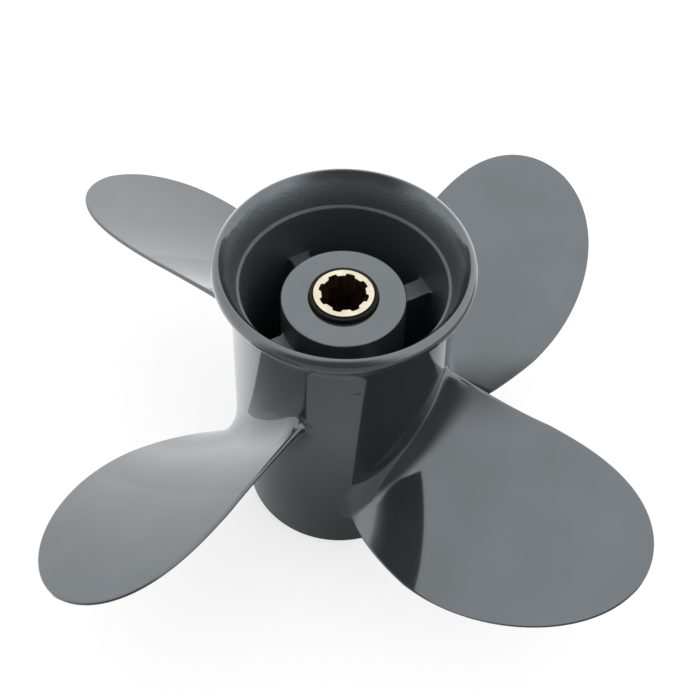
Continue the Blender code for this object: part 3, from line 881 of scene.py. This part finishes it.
def makeBush():
    # a turned ring that fills the hub's bore round the sleeve: from the middle of the aft face out, down past
    # the shoulder, in along the front end and up beside the sleeve
    inner, neck = sleeveRadius + bush["gap"], hub["faceBore"] - bush["gap"]
    profile = roundedLine([
        ((inner + neck) / 2, bushAft, 0.0),
        (neck, bushAft, bush["aftEdge"]),
        (neck, hub["shoulder"] + hub["rise"] - bush["neckDrop"], bush["neckEdge"]),
        (bushRadius, hub["shoulder"] - bush["shoulderDrop"], bush["edge"]),
        (bushRadius, bushFront, bush["edge"]),
        (inner, bushFront, bush["edge"]),
        (inner, bushAft, bush["aftEdge"]),
        ((inner + neck) / 2 - seam, bushAft, 0.0),
    ])
    points = turnedSurface(profile, bush["steps"])
    piece = addPiece("rubber_ring", points, gridNormals(points, closedRows=True), rubberMaterial,
                     "joined", "joined")
    return seat(piece, "black_rubber", "rubber_bush")


makeBush()
print("rubber bush made")


# Splined sleeve

sleeve = {
    "teeth": 8,
    "toothRadius": 6.7,
    "grooveRadius": 7.6,
    "firstTooth": 7.9,
    "steepness": 5.0,
    "edge": 0.35,
    "faceRun": 0.12,  # width of the faces' outermost rows
    "boreEdge": ((0.06, 0.12), (0.18, 0.0), (0.24, 0.0)),  # out from the bore, and down from the aft face
    "boreInset": 0.3,  # the bore's and the outside's straight rows stay this far from the edges
    "outsideInset": 0.2,
    "boreRows": 12,
    "outsideRows": 10,
    "edgeRows": 6,
    "steps": 320,
}


def sleeveSurface():
    # the bore's radius is a squared-off cosine of the angle, tanh(steepness cos), so teeth and grooves are
    # square and of one width; rows go up the bore, out over the aft face, down the outside and back in
    angle = np.radians(sleeve["firstTooth"]) + np.linspace(0, 2 * np.pi, sleeve["steps"], endpoint=False)
    wave = np.cos(sleeve["teeth"] * (angle - np.radians(sleeve["firstTooth"])))
    wave = np.tanh(sleeve["steepness"] * wave) / np.tanh(sleeve["steepness"])
    middle = (sleeve["grooveRadius"] + sleeve["toothRadius"]) / 2
    bore = middle - (sleeve["grooveRadius"] - sleeve["toothRadius"]) / 2 * wave
    edge = sleeve["edge"]
    outer = sleeveRadius + 0 * bore
    bends = np.radians(np.linspace(0, 90, sleeve["edgeRows"]))
    drop, narrow = edge * (1 - np.cos(bends)), edge * (1 - np.sin(bends))
    inset, outset = sleeve["boreInset"], edge + sleeve["outsideInset"]
    boreHeights = np.linspace(sleeveFront + inset, sleeveAft - inset, sleeve["boreRows"])
    outsideHeights = np.linspace(sleeveAft - outset, sleeveFront + outset, sleeve["outsideRows"])
    rows = [(bore, height) for height in boreHeights]
    rows += [(bore + out, sleeveAft - down) for out, down in sleeve["boreEdge"]]
    rows += [(outer - edge - sleeve["faceRun"], sleeveAft)]
    rows += [(outer - inward, sleeveAft - down) for inward, down in zip(narrow, drop)]
    rows += [(outer, height) for height in outsideHeights]
    rows += [(outer - inward, sleeveFront + up) for inward, up in zip(drop, narrow)]
    rows += [(outer - edge - sleeve["faceRun"], sleeveFront)]
    rows += [(bore + out, sleeveFront) for out, down in reversed(sleeve["boreEdge"][1:])]
    return np.array([onShaft(radius, angle, height + 0 * angle) for radius, height in rows])


def makeSleeve():
    points = sleeveSurface()
    piece = addPiece("brass_spline_sleeve", points, gridNormals(points, closedRows=True), brassMaterial,
                     "joined", "joined")
    return seat(piece, "brass_sleeve", "spline_sleeve")


makeSleeve()
print("sleeve made")


# Studio: pale floor, soft light, and the camera

view = {
    "elevation": 52.075,
    "distance": 406.462,
    "roll": 2.132,
    "aim": (2.535, 0.0, 68.275),
    "lens": 65.18,
    "sensor": 36.0,
    "nearest": 0.01,  # metres
}


def makeCamera():
    # it looks at its aim from the -Y side, lifted above the floor and slightly rolled
    lift, roll = math.radians(view["elevation"]), math.radians(view["roll"])
    back = np.array([0, -math.cos(lift), math.sin(lift)])
    level = np.array([1.0, 0, 0])
    upright = np.array([0, math.sin(lift), math.cos(lift)])
    right = math.cos(roll) * level + math.sin(roll) * upright
    up = -math.sin(roll) * level + math.cos(roll) * upright
    place = (np.array(view["aim"]) + view["distance"] * back) * millimetre
    lens = bpy.data.cameras.new("camera")
    lens.lens = view["lens"]
    lens.sensor_width = view["sensor"]
    lens.clip_start = view["nearest"]
    camera = bpy.data.objects.new("camera", lens)
    matrix = np.eye(4)
    matrix[:3, 0], matrix[:3, 1], matrix[:3, 2], matrix[:3, 3] = right, up, back, place
    camera.matrix_world = Matrix(matrix.tolist())
    bpy.context.scene.collection.objects.link(camera)
    bpy.context.scene.camera = camera


studio = {
    "floorReach": 1.6,  # metres
    "frontFloorShade": ((0.035, 0.13), (0.08, 0.5), (0.11, 0.4), (0.16, 0.33)),  # metres from the shaft, paleness: painted shadow close to the barrel, then a painted pool of light
    # painted light: the floor that the part mirrors is palest at the back
    "backFloorLight": 1.05,
    "floorSide": (-0.5, 0.866, 0.0),  # the way in which it turns paler, as painted light from the back
    "floorFade": 0.06,  # metres to each side of the shaft
    "shownFloor": 0.3,  # the part of the floor's white that takes shadows, and the part that doesn't
    "shownGlow": 0.72,
    "tent": 1.6,  # brightness of the light tent
    # darker places in it: the way to the middle, what is left of the light there, and the cosines of the
    # angles from the middle where it begins and is fully dark
    "darkSpots": (
        ((-0.12, -0.98, 0.16), 0.1, (0.5, 0.9)),  # the tent is open on the camera's side
        ((0.11, -0.63, 0.77), 0.35, (0.93, 0.99)),  # behind the camera
        ((-0.95, 0.25, 0.2), 0.9, (0.3, 0.95)),  # and it is a little darker on the left
    ),
}


def makeFloor():
    # the camera sees white cloth that takes soft shadows; the part mirrors a darker one with painted shadow
    # near the shaft, palest at the back as painted light
    reach = studio["floorReach"]
    mesh = bpy.data.meshes.new("studio_floor")
    mesh.from_pydata([(-reach, -reach, 0), (reach, -reach, 0), (reach, reach, 0), (-reach, reach, 0)], [],
                     [(0, 1, 2, 3)])
    material, tree, shader = newMaterial("studio floor")
    place = addNode(tree, "ShaderNodeTexCoord")
    back = addNode(tree, "ShaderNodeVectorMath", {"operation": "DOT_PRODUCT"}, {1: studio["floorSide"]},
                   {0: (place, "Object")})
    turn = addNode(tree, "ShaderNodeMapRange", {"interpolation_type": "SMOOTHSTEP"},
                   {"From Min": -studio["floorFade"], "From Max": studio["floorFade"]},
                   {"Value": (back, "Value")})
    distance = addNode(tree, "ShaderNodeVectorMath", {"operation": "LENGTH"}, links={0: (place, "Object")})
    # painted shadow and a painted pool of light on the mirrored floor, by distance from the shaft
    front = addNode(tree, "ShaderNodeValToRGB", links={"Fac": (distance, "Value")})
    stops = front.color_ramp.elements
    while len(stops) < len(studio["frontFloorShade"]):
        stops.new(0.5)
    for stop, (away, paleness) in zip(stops, studio["frontFloorShade"]):
        stop.position = away
        stop.color = (paleness, paleness, paleness, 1)
    shade = addNode(tree, "ShaderNodeMapRange", None, {"To Max": studio["backFloorLight"]},
                    {"Value": (turn, "Result"), "To Min": (front, "Color")})
    cloth = addNode(tree, "ShaderNodeBsdfDiffuse", links={"Color": (shade, "Result")})
    white = addNode(tree, "ShaderNodeBsdfDiffuse", None, {"Color": (*[studio["shownFloor"]] * 3, 1)})
    glow = addNode(tree, "ShaderNodeEmission", None, {"Strength": studio["shownGlow"]})
    shown = addNode(tree, "ShaderNodeAddShader", links={0: (white, 0), 1: (glow, 0)})
    path = addNode(tree, "ShaderNodeLightPath")
    mixed = addNode(tree, "ShaderNodeMixShader", links={
        0: (path, "Is Camera Ray"), 1: (cloth, 0), 2: (shown, 0)})
    tree.links.new(mixed.outputs[0], tree.nodes["Material Output"].inputs["Surface"])
    mesh.materials.append(material)
    floor = bpy.data.objects.new("studio_floor", mesh)
    bpy.context.scene.collection.objects.link(floor)


def darkSpot(tree, direction, middle, share, reach):
    # 1 outside the spot and share in its middle
    lean = addNode(tree, "ShaderNodeVectorMath", {"operation": "DOT_PRODUCT"}, {1: middle},
                   {0: (direction, "Generated")})
    return addNode(tree, "ShaderNodeMapRange", {"interpolation_type": "SMOOTHSTEP"},
                   {"From Min": reach[0], "From Max": reach[1], "To Min": 1.0, "To Max": share},
                   {"Value": (lean, "Value")})


def makeWorld():
    # a light tent with darker places in it, which the camera sees as plain white
    world = bpy.data.worlds.new("studio")
    bpy.context.scene.world = world
    world.use_nodes = True
    tree = world.node_tree
    tree.nodes.clear()
    direction = addNode(tree, "ShaderNodeTexCoord")
    glow = addNode(tree, "ShaderNodeValue")
    glow.outputs[0].default_value = studio["tent"]
    for middle, share, reach in studio["darkSpots"]:
        spot = darkSpot(tree, direction, middle, share, reach)
        glow = addNode(tree, "ShaderNodeMath", {"operation": "MULTIPLY"},
                       links={0: (glow, 0), 1: (spot, "Result")})
    tent = addNode(tree, "ShaderNodeBackground", None, {"Color": (1, 1, 1, 1)}, {"Strength": (glow, 0)})
    backdrop = addNode(tree, "ShaderNodeBackground", None, {"Color": (1, 1, 1, 1), "Strength": 1.0})
    path = addNode(tree, "ShaderNodeLightPath")
    mixed = addNode(tree, "ShaderNodeMixShader", links={
        0: (path, "Is Camera Ray"), 1: (tent, 0), 2: (backdrop, 0)})
    addNode(tree, "ShaderNodeOutputWorld", links={"Surface": (mixed, 0)})
    bpy.context.scene.view_settings.view_transform = "Standard"


makeCamera()
makeFloor()
makeWorld()
print("studio made")
